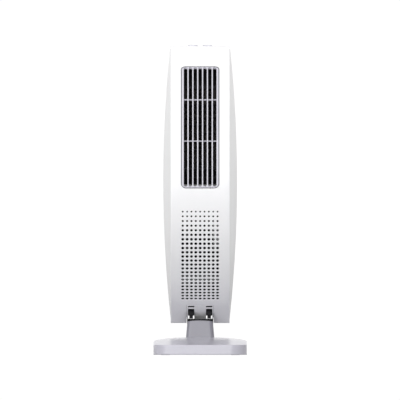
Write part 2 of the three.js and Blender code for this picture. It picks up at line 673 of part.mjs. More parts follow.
const BASE_SCREWS = [-1, 1].flatMap((x) => [BASE.front + 50, BASE.back - 50].map((y) => [x * 72, y]));
const FEET = [-1, 1].flatMap((x) => [BASE.front + 24, BASE.back - 24].map((y) => [x * 70, y]));
const PLATE_Z = [1.6, 4.6];
const BALLAST_Z = [5.2, 12.2];
const FOOT = { radius: 9, height: 1.3 };

function basePlate() {
  const edge = BASE_WALL + GAP;
  const x = [edge - BASE.halfWidth, BASE.halfWidth - edge];
  const plate = roundedBlock(x, [BASE.front + edge, BASE.back - edge], PLATE_Z, BASE_CORNER);
  return BASE_SCREWS.reduce((rest, place) => rest.subtract(bar("z", 2, [0, 9], place, 8)), plate);
}

function baseScrew(place) {
  return bar("z", 3.5, [0.4, 1.3], place, 12).add(bar("z", 1.6, [1, 12], place, 8));
}

function ballastPlate() {
  return roundedBlock([-58, 58], [BASE.front + 30, BASE.back - 30], BALLAST_Z, 8);
}

function tipSwitch() {
  return roundedBlock([36, 54], [BASE.crestY - 45, BASE.crestY - 25], [BALLAST_Z[1] + 0.6, 24], 3);
}

const GLAND = { radius: 6.5, bore: 3.6, place: [40, 12] };

function cordGland() {
  const sleeve = bar("y", GLAND.radius, [BASE.back - 12, BASE.back - GAP], GLAND.place, 16);
  return sleeve.subtract(bar("y", GLAND.bore, [BASE.back - 8, BASE.back + 2], GLAND.place, 12));
}

function cordHole() {
  return bar("y", GLAND.radius + GAP, [BASE.back - 20, BASE.back + 5], GLAND.place, 16);
}

function foot(place) {
  return bar("z", FOOT.radius, [0, FOOT.height], place, 20);
}

// ---- assembly ----
const part = new THREE.Group();

function place(parent, name, solid, material) {
  const mesh = new THREE.Mesh(geometryOf(solid), material);
  mesh.name = name;
  parent.add(mesh);
}

const body = new THREE.Group();
place(body, "front_panel", frontPanel(), WHITE);
place(body, "outlet_bezel", outletBezel(), GRILLE_GREY);
place(body, "outlet_grille", outletGrille(), GRILLE_GREY);
place(body, "inner_louvre", innerLouvre(), BLACK);
place(body, "rear_shell", rearShell(), WHITE);
place(body, "top_cap", topCap(), WHITE);
place(body, "control_board", controlBoard(), BOARD_GREEN);
place(body, "blower_housing", blowerHousing(), BLACK);
place(body, "blower_wheel", blowerWheel(), BLACK);
place(body, "motor_shaft", motorShaft(), STEEL);
place(body, "motor", motor(), STEEL);
place(body, "rear_intake_grille", rearIntakeGrille(), WHITE);
place(body, "dust_filter", dustFilter(), FOAM);
place(body, "power_board", powerBoard(), BOARD_GREEN);
place(body, "pivot_bracket", pivotBracket(), WHITE);
REAR_SCREWS.forEach((at, i) => place(body, `rear_screw_${i + 1}`, rearScrew(at), STEEL));
place(body, "button_power", buttonBlock(-BUTTON_X, 0, BUTTON_SPAN), LILAC_GREY);
place(body, "button_mode", buttonBlock(BUTTON_X, 0, BUTTON_SPAN), LILAC_GREY);

const core = new THREE.Group();
core.position.set(0, FACE_Y + FACE_RADIUS, FACE_APEX_Z);
core.rotation.x = -CORE_TILT;
place(core, "core_frame", coreFrame(), BLACK);
place(core, "heating_core", heatingCore(), CERAMIC);
place(core, "thermal_cutout", thermalCutout(), ALUMINIUM);
place(core, "air_duct", airDuct(), BLACK);
body.add(core);
part.add(body);

const stand = new THREE.Group();
for (const [name, side] of [["left", -1], ["right", 1]]) {
  place(body, `hinge_pin_${name}`, hingePin(side), STEEL);
  place(stand, `hinge_arm_${name}`, hingeArm(side), BLACK);
}
place(stand, "neck_cap", neckCap(), BLACK);
place(stand, "neck_shell", neckShell(), LILAC_GREY);
place(stand, "base_cover", baseCover().subtract(cordHole()), LILAC_GREY);
place(stand, "base_plate", basePlate(), BLACK);
place(stand, "ballast_plate", ballastPlate(), STEEL);
place(stand, "tip_switch", tipSwitch(), BLACK);
place(stand, "cord_gland", cordGland(), BLACK);
BASE_SCREWS.forEach((at, i) => place(stand, `base_screw_${i + 1}`, baseScrew(at), STEEL));
FEET.forEach((at, i) => place(stand, `foot_${i + 1}`, foot(at), RUBBER));
part.add(stand);

export default part;
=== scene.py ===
import math

import bmesh
import bpy
import numpy as np
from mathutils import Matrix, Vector
from mathutils.geometry import delaunay_2d_cdt

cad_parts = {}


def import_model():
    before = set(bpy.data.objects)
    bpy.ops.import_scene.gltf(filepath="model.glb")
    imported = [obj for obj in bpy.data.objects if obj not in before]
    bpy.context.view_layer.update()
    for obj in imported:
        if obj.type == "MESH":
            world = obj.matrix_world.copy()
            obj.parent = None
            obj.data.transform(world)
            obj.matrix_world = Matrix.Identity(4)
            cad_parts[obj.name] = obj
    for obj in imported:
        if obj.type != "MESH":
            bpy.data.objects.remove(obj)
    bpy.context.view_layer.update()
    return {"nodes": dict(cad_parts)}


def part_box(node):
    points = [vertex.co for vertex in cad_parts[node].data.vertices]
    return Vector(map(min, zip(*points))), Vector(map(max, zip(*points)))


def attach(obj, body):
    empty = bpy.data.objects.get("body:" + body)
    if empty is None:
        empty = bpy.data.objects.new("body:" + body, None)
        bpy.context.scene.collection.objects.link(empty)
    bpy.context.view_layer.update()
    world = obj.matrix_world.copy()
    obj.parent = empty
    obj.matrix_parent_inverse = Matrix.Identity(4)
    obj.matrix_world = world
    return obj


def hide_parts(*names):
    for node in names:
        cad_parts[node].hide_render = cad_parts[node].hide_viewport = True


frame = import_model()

MM = 0.001

# ---- driving dimensions, in metres; places come from the frame's boxes ----
panel_low, panel_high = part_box("front_panel")
shell_low, shell_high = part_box("rear_shell")
base_low, base_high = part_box("base_cover")

FACE_RADIUS = 285.5 * MM
FACE_APEX_Z = 347 * MM
ARC_END = math.radians(62)
FACE_Y = panel_low.y
BACK_Y = shell_high.y
PANEL_HALF = panel_high.x
PANEL_WALL = 3 * MM
SHELL_WALL = 2.4 * MM
SHELL_FLARE = 15 * MM
FLARE_REACH = 276 * MM
GAP = 0.4 * MM

OUTLET_HALF = 38.5 * MM
OUTLET_BOTTOM = 333 * MM
OUTLET_TOP = 577.5 * MM
OUTLET_CORNER = 10 * MM
SLOT_COUNT = 7
SLOT_WIDTH = 6.9 * MM
SLOT_PITCH = 9.7 * MM
RIB_HEIGHTS = (428 * MM, 511 * MM)
RIB_FRONT = 3.5 * MM
RIB_HALF = 0.75 * MM
SLOT_EASE = 0.15 * MM
SLOT_MARGINS = (4.2 * MM, 2.6 * MM)
RIB_REACH = 34 * MM
OUTLET_DEPTH = 5 * MM

HOLE_COLUMNS = 9
HOLE_ROWS = 23
HOLE_PITCH_X = 8.7 * MM
HOLE_PITCH_S = 9.72 * MM
FIRST_ROW_S = -60.8 * MM
HOLE_DIAMETER = 5.8 * MM
SMALLEST_HOLE = 3.4 * MM
HOLE_GROWTH = 0.4 * MM

ARM_X = 18 * MM
ARM_SLOT_HALF = 6.3 * MM
ARM_SLOT_TOP = 92 * MM
ARM_WINDOW = (95.2 * MM, 98 * MM)
NOTCH_HALF = 27.2 * MM
NOTCH_TOP = 72.6 * MM
REAR_NOTCH_TOP = 80 * MM
INSERT_TOP = 99.5 * MM
INSERT_GAP = 0.35 * MM
WINDOW_CORNER = 0.6 * MM
# Painted shade: faces deeper than this behind the bowed face, and this margin inside the panel's edges, are
# painted black so the openings read dark.
PAINTED_SHADE_DEPTH = 0.15 * MM
PAINTED_SHADE_MARGIN = 0.3 * MM


# ---- materials ----
def node_tree(name):
    material = bpy.data.materials.new(name)
    material.use_nodes = True
    nodes = material.node_tree.nodes
    return material, nodes, material.node_tree.links, nodes["Principled BSDF"]


def noise(nodes, links, coordinates, scale, detail=3.0):
    texture = nodes.new("ShaderNodeTexNoise")
    texture.inputs["Scale"].default_value = scale
    texture.inputs["Detail"].default_value = detail
    links.new(coordinates, texture.inputs["Vector"])
    return texture.outputs["Fac"]


def span(nodes, links, value, low, high):
    """A texture's 0.3 to 0.7 stretched to the range from low to high."""
    stretch = nodes.new("ShaderNodeMapRange")
    stretch.inputs["From Min"].default_value = 0.3
    stretch.inputs["From Max"].default_value = 0.7
    stretch.inputs["To Min"].default_value = low
    stretch.inputs["To Max"].default_value = high
    links.new(value, stretch.inputs["Value"])
    return stretch.outputs["Result"]


def two_tone(nodes, links, value, first, second):
    mix = nodes.new("ShaderNodeMix")
    mix.data_type = "RGBA"
    mix.inputs["A"].default_value = (*first, 1)
    mix.inputs["B"].default_value = (*second, 1)
    links.new(value, mix.inputs["Factor"])
    return mix.outputs["Result"]


def moulded(name, color, roughness, grain=900.0, grain_depth=0.04, drift=0.02, coat=0.0, specular=0.5):
    """Moulded or painted surface: a slow drift of tone, an uneven gloss and a fine eroded grain."""
    material, nodes, links, shader = node_tree(name)
    place = nodes.new("ShaderNodeTexCoord").outputs["Object"]
    slow = noise(nodes, links, place, 14.0)
    darker = tuple(c * (1 - drift) for c in color)
    tone = two_tone(nodes, links, span(nodes, links, slow, 0, 1), color, darker)
    links.new(tone, shader.inputs["Base Color"])
    cloud = noise(nodes, links, place, 60.0)
    rough = span(nodes, links, cloud, roughness * 0.92, roughness * 1.08)
    links.new(rough, shader.inputs["Roughness"])
    bump = nodes.new("ShaderNodeBump")
    bump.inputs["Strength"].default_value = grain_depth
    bump.inputs["Distance"].default_value = 0.1 * MM
    links.new(noise(nodes, links, place, grain, 2.0), bump.inputs["Height"])
    links.new(bump.outputs["Normal"], shader.inputs["Normal"])
    shader.inputs["Specular IOR Level"].default_value = specular
    shader.inputs["Coat Weight"].default_value = coat
    shader.inputs["Coat Roughness"].default_value = 0.22
    return material


def brushed(name, color, roughness, stretch):
    """Metal with fine drawn lines along one direction."""
    material, nodes, links, shader = node_tree(name)
    place = nodes.new("ShaderNodeTexCoord").outputs["Object"]
    mapping = nodes.new("ShaderNodeMapping")
    mapping.inputs["Scale"].default_value = stretch
    links.new(place, mapping.inputs["Vector"])
    lines = noise(nodes, links, mapping.outputs["Vector"], 900.0, 4.0)
    darker = tuple(c * 0.86 for c in color)
    tone = two_tone(nodes, links, span(nodes, links, lines, 0, 1), color, darker)
    links.new(tone, shader.inputs["Base Color"])
    links.new(span(nodes, links, lines, roughness * 0.8, roughness * 1.25), shader.inputs["Roughness"])
    bump = nodes.new("ShaderNodeBump")
    bump.inputs["Strength"].default_value = 0.1
    bump.inputs["Distance"].default_value = 0.05 * MM
    links.new(lines, bump.inputs["Height"])
    links.new(bump.outputs["Normal"], shader.inputs["Normal"])
    shader.inputs["Metallic"].default_value = 1.0
    return material


def circuit_board():
    """Green solder mask with a pattern of square pads."""
    material, nodes, links, shader = node_tree("circuit_board")
    place = nodes.new("ShaderNodeTexCoord").outputs["Object"]
    pads = nodes.new("ShaderNodeTexBrick")
    pads.inputs["Scale"].default_value = 120.0
    pads.inputs["Color1"].default_value = (0.03, 0.16, 0.07, 1)
    pads.inputs["Color2"].default_value = (0.02, 0.11, 0.05, 1)
    pads.inputs["Mortar"].default_value = (0.05, 0.24, 0.1, 1)
    links.new(place, pads.inputs["Vector"])
    links.new(pads.outputs["Color"], shader.inputs["Base Color"])
    shader.inputs["Roughness"].default_value = 0.35
    return material


def filter_foam():
    """Open foam: the cells are painted darker than their walls, as painted shade in the pores."""
    material, nodes, links, shader = node_tree("filter_foam")
    place = nodes.new("ShaderNodeTexCoord").outputs["Object"]
    cells = nodes.new("ShaderNodeTexVoronoi")
    cells.inputs["Scale"].default_value = 500.0
    links.new(place, cells.inputs["Vector"])
    # Dark cell centres and light walls: painted shade in the pores.
    dark, light = (0.02, 0.02, 0.022), (0.09, 0.09, 0.095)
    links.new(two_tone(nodes, links, cells.outputs["Distance"], dark, light), shader.inputs["Base Color"])
    bump = nodes.new("ShaderNodeBump")
    bump.inputs["Strength"].default_value = 0.8
    bump.inputs["Distance"].default_value = 1 * MM
    links.new(cells.outputs["Distance"], bump.inputs["Height"])
    links.new(bump.outputs["Normal"], shader.inputs["Normal"])
    shader.inputs["Roughness"].default_value = 0.95
    return material


WHITE = moulded("white_shell", (0.9, 0.9, 0.91), 0.42, coat=0.15)
WHITE_SIDE = moulded("white_side", (0.92, 0.92, 0.92), 0.4, coat=0.5)
LILAC = moulded("lilac_grey", (0.52, 0.51, 0.575), 0.36, grain=1400.0, grain_depth=0.05, coat=1.0)
# The neck's lilac grey darkened far below the base's: painted shade for the shadow under the body.
NECK_PAINTED_SHADE = moulded("neck_painted_shade", (0.22, 0.216, 0.25), 0.36, grain=1400.0, grain_depth=0.05, coat=0.3)
GRILLE = moulded("grille_grey", (0.6, 0.59, 0.65), 0.4, grain=1200.0, coat=0.1)
BEZEL = moulded("bezel_grey", (0.2, 0.2, 0.225), 0.4, grain=1200.0)
BLACK = moulded("black_plastic", (0.01, 0.01, 0.012), 0.5, 1500.0, 0.15, 0.2, specular=0.15)
DARK = moulded("louvre_black", (0.016, 0.016, 0.018), 0.55, 1500.0, 0.15, 0.2, specular=0.12)
CERAMIC = moulded("heater_ceramic", (0.03, 0.028, 0.026), 0.7, 700.0, 0.2, 0.3, specular=0.1)
RUBBER = moulded("rubber_foot", (0.03, 0.03, 0.032), 0.85, grain=700.0, grain_depth=0.3, drift=0.25)
STEEL = brushed("steel", (0.62, 0.62, 0.64), 0.28, (0.05, 1, 1))
ALUMINIUM = brushed("aluminium", (0.72, 0.72, 0.74), 0.4, (1, 1, 0.05))
BOARD = circuit_board()
FOAM = filter_foam()


# ---- mesh helpers ----
def piece(name, vertices, faces, material, body, slot, replaced=(), sharp=35, painted_shade=None):
    """A named piece on a body. The painted shade is a second, dark material for the faces behind the bowed
    face, painted so that the holes and openings read dark; the panel's outer edges, which are seen from the
    side and from above, keep the first."""
    mesh = bpy.data.meshes.new(name)
    mesh.from_pydata([tuple(v) for v in vertices], [], faces)
    mesh.materials.append(material)
    if painted_shade:
        mesh.materials.append(painted_shade)
        # Faces behind the bowed face take the black: painted shade inside the holes and openings.
        deep = [in_front(v.co) < -PAINTED_SHADE_DEPTH for v in mesh.vertices]
        for face in mesh.polygons:
            hidden = within_edges(face.center) and all(deep[i] for i in face.vertices)
            face.material_index = int(hidden)
    sheet = bmesh.new()
    sheet.from_mesh(mesh)
    bmesh.ops.remove_doubles(sheet, verts=sheet.verts, dist=1e-7)
    bmesh.ops.recalc_face_normals(sheet, faces=sheet.faces)
    sheet.to_mesh(mesh)
    sheet.free()
    mesh.shade_smooth()
    mesh.set_sharp_from_angle(angle=math.radians(sharp))
    made = bpy.data.objects.new(name, mesh)
    bpy.context.scene.collection.objects.link(made)
    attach(made, body)
    if replaced:
        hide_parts(*replaced)
    return made


def apply_modifiers(made):
    graph = bpy.context.evaluated_depsgraph_get()
    final = bpy.data.meshes.new_from_object(made.evaluated_get(graph))
    made.modifiers.clear()
    made.data = final


def cut(made, cutter, sharp=35):
    """Takes the cutter's solid away from a piece and removes the cutter."""
    boolean = made.modifiers.new("cut", "BOOLEAN")
    boolean.operation = "DIFFERENCE"
    boolean.solver = "EXACT"
    boolean.material_mode = "TRANSFER"
    boolean.object = cutter
    apply_modifiers(made)
    bpy.data.objects.remove(cutter)
    made.data.shade_smooth()
    made.data.set_sharp_from_angle(angle=math.radians(sharp))


def cutter_of(vertices, faces, material=None):
    """A solid to cut with; the cut surfaces take its material."""
    mesh = bpy.data.meshes.new("cutter")
    if material:
        mesh.materials.append(material)
    mesh.from_pydata([tuple(v) for v in vertices], [], faces)
    solid = bmesh.new()
    solid.from_mesh(mesh)
    bmesh.ops.recalc_face_normals(solid, faces=solid.faces)
    solid.to_mesh(mesh)
    solid.free()
    made = bpy.data.objects.new("cutter", mesh)
    bpy.context.scene.collection.objects.link(made)
    return made


def arc(cx, cy, radius, start, end, steps):
    angles = np.radians(np.linspace(start, end, steps + 1))
    return [(cx + radius * math.cos(a), cy + radius * math.sin(a)) for a in angles]


def circle(cx, cy, radius, steps):
    return arc(cx, cy, radius, 0, 360, steps)[:-1]


def between(start, end, count):
    """Points from start towards end, evenly spaced, without either of them."""
    start, end = np.array(start), np.array(end)
    return [tuple(start + (end - start) * i / (count + 1)) for i in range(1, count + 1)]


def line(start, end, step):
    return between(start, end, int(math.dist(start, end) / step))


def rounded(x0, x1, y0, y1, radius, steps=8, step=5 * MM, sides=None):
    """A rounded rectangle, anticlockwise. Its sides are divided by a step, or each into the same number."""
    corners = [
        arc(x1 - radius, y0 + radius, radius, -90, 0, steps),
        arc(x1 - radius, y1 - radius, radius, 0, 90, steps),
        arc(x0 + radius, y1 - radius, radius, 90, 180, steps),
        arc(x0 + radius, y0 + radius, radius, 180, 270, steps),
    ]
    outline = []
    for i, corner in enumerate(corners):
        following = corners[(i + 1) % 4][0]
        outline += corner
        if sides is None:
            outline += line(corner[-1], following, step)
        else:
            outline += between(corner[-1], following, sides)
    return outline


def polygon(points, step=5 * MM):
    """A closed outline through the points, with its sides divided."""
    outline = []
    for i, start in enumerate(points):
        outline.append(start)
        outline += line(start, points[(i + 1) % len(points)], step)
    return outline


def grown(outline, distance):
    """An anticlockwise outline moved outwards."""
    points = np.array(outline)
    before = points - np.roll(points, 1, axis=0)
    after = np.roll(points, -1, axis=0) - points
    before /= np.linalg.norm(before, axis=1)[:, None]
    after /= np.linalg.norm(after, axis=1)[:, None]
    normals = np.stack([before[:, 1] + after[:, 1], -before[:, 0] - after[:, 0]], axis=1)
    lengths = np.maximum(np.sum(normals**2, axis=1), 0.5)
    return points + 2 * distance * normals / lengths[:, None]


def inside(points, outline):
    """Which of the points lie inside the outline."""
    x, y = points[:, 0], points[:, 1]
    hit = np.zeros(len(points), bool)
    for (ax, ay), (bx, by) in zip(outline, np.roll(outline, -1, axis=0)):
        crosses = (ay > y) != (by > y)
        if crosses.any():
            with np.errstate(divide="ignore", invalid="ignore"):
                hit ^= crosses & (x < (bx - ax) * (y - ay) / (by - ay) + ax)
    return hit


def near_or_inside(points, outline, margin):
    wide = grown(outline, margin)
    low, high = wide.min(axis=0), wide.max(axis=0)
    boxed = np.all((points >= low) & (points <= high), axis=1)
    found = np.zeros(len(points), bool)
    found[boxed] = inside(points[boxed], wide)
    return found


EDGE_ANGLES = (30, 60, 90)


def plate(outer, holes, back, front=0.0, edge=0.4 * MM, spacing=5 * MM, place=None):
    """The vertices and faces of a plate with holes and rounded front edges.
    It is drawn flat and put in place by place(u, v, out)."""
    loops = [(np.array(outer), -1)] + [(np.array(hole), 1) for hole in holes]
    face_loops = [grown(loop, sign * edge) for loop, sign in loops]
    (u0, v0), (u1, v1) = loops[0][0].min(axis=0), loops[0][0].max(axis=0)
    grid_u = np.linspace(u0, u1, max(3, int((u1 - u0) / spacing)))
    grid_v = np.linspace(v0, v1, max(3, int((v1 - v0) / spacing)))
    grid = np.array([(u, v) for v in grid_v for u in grid_u])
    margin = min(spacing * 0.35, 1.2 * MM) + edge
    keep = near_or_inside(grid, grown(loops[0][0], -margin), 0)
    for loop, _ in loops[1:]:
        keep &= ~near_or_inside(grid, loop, margin)
    points = np.vstack([*face_loops, grid[keep]])
    edges = []
    start = 0
    for loop in face_loops:
        count = len(loop)
        edges += [(start + i, start + (i + 1) % count) for i in range(count)]
        start += count
    flat, _, triangles, origin, _, _ = delaunay_2d_cdt([Vector(p) for p in points], edges, [], 0, 1e-8)
    flat = np.array([tuple(p) for p in flat])
    index_of = {source: made for made, sources in enumerate(origin) for source in sources}
    triangles = np.array(triangles)
    middles = flat[triangles].mean(axis=1)
    solid = near_or_inside(middles, face_loops[0], 0)
    for loop in face_loops[1:]:
        solid &= ~near_or_inside(middles, loop, 0)
    triangles = triangles[solid]

    vertices = [(u, v, front) for u, v in flat]
    faces = [tuple(t) for t in triangles.tolist()]
    rear = len(vertices)
    rear_flat = flat.copy()
    angles = [math.radians(a) for a in EDGE_ANGLES]
    rows = [(edge * (1 - math.sin(a)), edge * (1 - math.cos(a))) for a in angles]
    walls = []
    start = 0
    for loop, sign in loops:
        count = len(loop)
        source = [index_of[start + i] for i in range(count)]
        rear_flat[source] = loop
        walls.append((loop, sign, source))
        start += count
    vertices += [(u, v, back) for u, v in rear_flat]
    faces += [tuple(reversed(t)) for t in (triangles + rear).tolist()]
    for loop, sign, source in walls:
        previous = source
        for inset, depth in rows:
            ring = grown(loop, sign * inset) if inset > 1e-9 else loop
            current = list(range(len(vertices), len(vertices) + len(loop)))
            vertices += [(u, v, front - depth) for u, v in ring]
            faces += band(previous, current, sign)
            previous = current
        faces += band(previous, [i + rear for i in source], sign)
    return [place(*v) for v in vertices], faces


def band(upper, lower, sign):
    count = len(upper)
    quads = []
    for i in range(count):
        j = (i + 1) % count
        quad = (upper[i], lower[i], lower[j], upper[j])
        quads.append(quad if sign < 0 else quad[::-1])
    return quads


def stack(rings):
    """Faces that join equal rings one after another, with both ends closed."""
    count = len(rings[0])
    vertices = [tuple(p) for ring in rings for p in ring]
    faces = []
    for level in range(len(rings) - 1):
        for i in range(count):
            j = (i + 1) % count
            a, b = level * count, (level + 1) * count
            faces.append((a + i, a + j, b + j, b + i))
    faces.append(tuple(range(count))[::-1])
    faces.append(tuple(range(len(vertices) - count, len(vertices))))
    return vertices, faces


def box_mesh(x, y, z):
    rings = [[(x[0], y[0], h), (x[1], y[0], h), (x[1], y[1], h), (x[0], y[1], h)] for h in z]
    return stack(rings)


# ---- the bowed face: s runs up along it from the apex, and out is the distance in front of it ----
def bend(x, s, out):
    angle = max(s / FACE_RADIUS, -ARC_END)
    straight = min(s + ARC_END * FACE_RADIUS, 0)
    radius = FACE_RADIUS + out
    y = FACE_Y + FACE_RADIUS - radius * math.cos(angle) - straight * math.sin(ARC_END)
    z = FACE_APEX_Z + radius * math.sin(angle) + straight * math.cos(ARC_END)
    return x, y, z


def in_front(point):
    """How far in front of the bowed face a point is."""
    back, up = FACE_Y + FACE_RADIUS - point[1], point[2] - FACE_APEX_Z
    if math.atan2(up, back) > -ARC_END:
        return math.hypot(back, up) - FACE_RADIUS
    return back * math.cos(ARC_END) - up * math.sin(ARC_END) - FACE_RADIUS


def along_face(point):
    """How far up along the bowed face from its apex a point is."""
    back, up = FACE_Y + FACE_RADIUS - point[1], point[2] - FACE_APEX_Z
    angle = math.atan2(up, back)
    if angle > -ARC_END:
        return FACE_RADIUS * angle
    return -ARC_END * FACE_RADIUS + back * math.sin(ARC_END) + up * math.cos(ARC_END)


def within_edges(point):
    """Whether a point is clear of the panel's outer side walls and of its top and bottom end walls."""
    low, high = face_distance(panel_low.z), face_distance(panel_high.z)
    aside = abs(point[0]) < PANEL_HALF - PAINTED_SHADE_MARGIN
    return aside and low + PAINTED_SHADE_MARGIN < along_face(point) < high - PAINTED_SHADE_MARGIN


def face_distance(z):
    arc_bottom = FACE_APEX_Z - FACE_RADIUS * math.sin(ARC_END)
    if z >= arc_bottom:
        return FACE_RADIUS * math.asin((z - FACE_APEX_Z) / FACE_RADIUS)
    return -ARC_END * FACE_RADIUS - (arc_bottom - z) / math.cos(ARC_END)


OUTLET_S = (face_distance(OUTLET_BOTTOM), face_distance(OUTLET_TOP))


def outlet_outline(inset):
    half = OUTLET_HALF - inset
    return rounded(-half, half, OUTLET_S[0] + inset, OUTLET_S[1] - inset, OUTLET_CORNER - inset)


# ---- body: front ----
def front_panel():
    top, bottom = face_distance(panel_high.z), face_distance(panel_low.z)
    insert = face_distance(INSERT_TOP)
    right = [(PANEL_HALF, bottom), (PANEL_HALF, top)]
    left = [(-PANEL_HALF, top), (-PANEL_HALF, bottom)]
    opening = [(-NOTCH_HALF, bottom), (-NOTCH_HALF, insert), (NOTCH_HALF, insert), (NOTCH_HALF, bottom)]
    holes = [outlet_outline(0)]
    for row in range(HOLE_ROWS):
        radius = min(SMALLEST_HOLE + HOLE_GROWTH * row, HOLE_DIAMETER) / 2
        for column in range(HOLE_COLUMNS):
            x = (column - (HOLE_COLUMNS - 1) / 2) * HOLE_PITCH_X
            holes.append(circle(x, FIRST_ROW_S - row * HOLE_PITCH_S, radius, 24))
    made = plate(polygon(right + left + opening, 4 * MM), holes, -PANEL_WALL, edge=0.2 * MM, place=bend)
    # The holes' walls and the panel's back are painted black: painted shade that makes the holes read dark.
    piece("bowed_panel", *made, WHITE, "body", "white_shell", ["front_panel"], painted_shade=BLACK)


def insert_layer(grow, back, front, edge):
    """One layer of the insert: its outline moved outwards by grow and its openings widened by it."""
    half, top = NOTCH_HALF - INSERT_GAP + grow, face_distance(INSERT_TOP) - INSERT_GAP + grow
    slot_half = ARM_SLOT_HALF + max(grow, 0) / 4
    notch, slot = face_distance(NOTCH_TOP), face_distance(ARM_SLOT_TOP) + max(grow, 0) / 4
    near, far = ARM_X - slot_half, ARM_X + slot_half
    right = [(near, notch), (near, slot), (far, slot), (far, notch), (half, notch), (half, top)]
    left = [(-x, s) for x, s in reversed(right)]
    low, high = (face_distance(z) for z in ARM_WINDOW)
    windows = []
    for x in (-ARM_X, ARM_X):
        windows.append(rounded(x - slot_half, x + slot_half, low, high, WINDOW_CORNER, 3, 2 * MM))
    return plate(polygon(right + left, 3 * MM), windows, back, front, edge, 3 * MM, bend)


def joined(first, second):
    vertices, faces = list(first[0]), list(first[1])
    faces += [tuple(len(vertices) + i for i in face) for face in second[1]]
    return vertices + list(second[0]), faces


def hinge_insert():
    """The panel's lower middle: a part of its own, with a flange behind the hairline gap round it."""
    face = insert_layer(0, -PANEL_WALL, 0, 0.25 * MM)
    flange = insert_layer(1.6 * MM, -PANEL_WALL - 0.7 * MM, -PANEL_WALL - 0.1 * MM, 0.05 * MM)
    # Its slot walls and back are painted black too, as painted shade.
    piece("hinge_insert", *joined(face, flange), WHITE, "body", "white_shell", painted_shade=BLACK)


def outlet():
    opening = [outlet_outline(1.6 * MM)]
    ring = plate(outlet_outline(GAP), opening, -OUTLET_DEPTH, -0.1 * MM, 0.3 * MM, place=bend)
    piece("outlet_ring", *ring, BEZEL, "body", "grille_grey", ["outlet_bezel"])
    half = SLOT_WIDTH / 2 + SLOT_EASE
    slots = []
    for i in range(SLOT_COUNT):
        x = (i - (SLOT_COUNT - 1) / 2) * SLOT_PITCH
        low, high = OUTLET_S[0] + SLOT_MARGINS[0], OUTLET_S[1] - SLOT_MARGINS[1]
        slots.append(rounded(x - half, x + half, low, high, half - 0.1 * MM))
    outer = outlet_outline(1.8 * MM)
    vertices, faces = plate(outer, slots, -OUTLET_DEPTH, -0.4 * MM, 0.3 * MM, place=bend)
    for z in RIB_HEIGHTS:
        s = FACE_RADIUS * math.asin((z - FACE_APEX_Z) / (FACE_RADIUS - RIB_FRONT))
        outline = rounded(-RIB_REACH, RIB_REACH, s - RIB_HALF, s + RIB_HALF, 0.3 * MM, 2)
        rib = plate(outline, [], -7 * MM, -RIB_FRONT, 0.2 * MM, place=bend)
        vertices, faces = joined((vertices, faces), rib)
    piece("outlet_bars", vertices, faces, GRILLE, "body", "grille_grey", ["outlet_grille"])


# ---- body: shell ----
def flare_at(z):
    return SHELL_FLARE * max(0, 1 - ((z - FACE_APEX_Z) / FLARE_REACH) ** 2)


def shell_ring(s, inset, forward, steps=10):
    _, rim, z = bend(0, s, -PANEL_WALL - GAP)
    radius = 9 * MM + 14 * MM * (flare_at(z) / SHELL_FLARE) - inset / 2
    half = PANEL_HALF + flare_at(z) - inset
    back = BACK_Y - inset
    front = rim - forward
    rim_right, rim_left = (PANEL_HALF - inset, front), (inset - PANEL_HALF, front)
    right = arc(half - radius, back - radius, radius, 0, 90, steps)
    left = arc(radius - half, back - radius, radius, 90, 180, steps)
    outline = [rim_right, *between(rim_right, right[0], 8), *right]
    outline += [*between(right[-1], left[0], 8), *left, *between(left[-1], rim_left, 8), rim_left]
    return [(x, y, z) for x, y in outline]


def shell_distance(z):
    """How far along the face the level z is on the shell's rim."""
    low, high = -0.4, 0.4
    for _ in range(50):
        middle = (low + high) / 2
        if bend(0, middle, -PANEL_WALL - GAP)[2] < z:
            low = middle
        else:
            high = middle
    return (low + high) / 2


REAR_OPENING = (40 * MM, 150 * MM, 340 * MM)
REAR_SLOT_LEVELS = (162 * MM, 330 * MM)
REAR_SLOT_SPAN = (1.5 * MM, 34 * MM)
REAR_SLOT_HEIGHT = 5 * MM
REAR_SLOT_PITCH = 10 * MM
REAR_CORNER = 9 * MM
SCREW_WELL = 4.2 * MM


def rear_shell():
    bottom, top = shell_low.z, shell_high.z
    levels = np.linspace(shell_distance(bottom), shell_distance(top), 90)
    outer = stack([shell_ring(s, 0, 0) for s in levels])
    made = piece("shell", *outer, WHITE_SIDE, "body", "white_shell", ["rear_shell"])
    floor, over = shell_distance(bottom + SHELL_WALL), shell_distance(top + 1 * MM)
    hollow = stack([shell_ring(s, SHELL_WALL, 12 * MM) for s in np.linspace(floor, over, 90)])
    # The hollow's cut faces take black: the shell's inside is painted dark as shade, so the openings into
    # it read dark.
    cut(made, cutter_of(*hollow, BLACK))
    half, low, high = REAR_OPENING
    through = (BACK_Y - 10 * MM, BACK_Y + 5 * MM)
    opening = rounded(-half, half, low, high, 6 * MM)
    cut(made, cutter_of(*stack([[(x, y, z) for x, z in opening] for y in through]), WHITE_SIDE))
    notch = box_mesh((-NOTCH_HALF, NOTCH_HALF), (FACE_Y, BACK_Y + 5 * MM), (0, REAR_NOTCH_TOP))
    cut(made, cutter_of(*notch, WHITE_SIDE))
    for i in range(1, 5):
        low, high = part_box(f"rear_screw_{i}")
        ring = circle((low.x + high.x) / 2, (low.z + high.z) / 2, SCREW_WELL, 32)
        cut(made, cutter_of(*stack([[(x, y, z) for x, z in ring] for y in through]), WHITE_SIDE))
    return made


def rear_grille():
    low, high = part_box("rear_intake_grille")
    outline = rounded(low.x, high.x, low.z, high.z, 5.6 * MM)
    slots = []
    z = REAR_SLOT_LEVELS[0]
    while z < REAR_SLOT_LEVELS[1]:
        for side in (-1, 1):
            x0, x1 = sorted(side * x for x in REAR_SLOT_SPAN)
            slots.append(rounded(x0, x1, z, z + REAR_SLOT_HEIGHT, 2.4 * MM))
        z += REAR_SLOT_PITCH

    def place(u, v, out):
        return u, high.y + out, v

    made = plate(outline, slots, low.y - high.y, 0, 0.5 * MM, place=place)
    return piece("rear_grille", *made, WHITE_SIDE, "body", "white_shell", ["rear_intake_grille"])


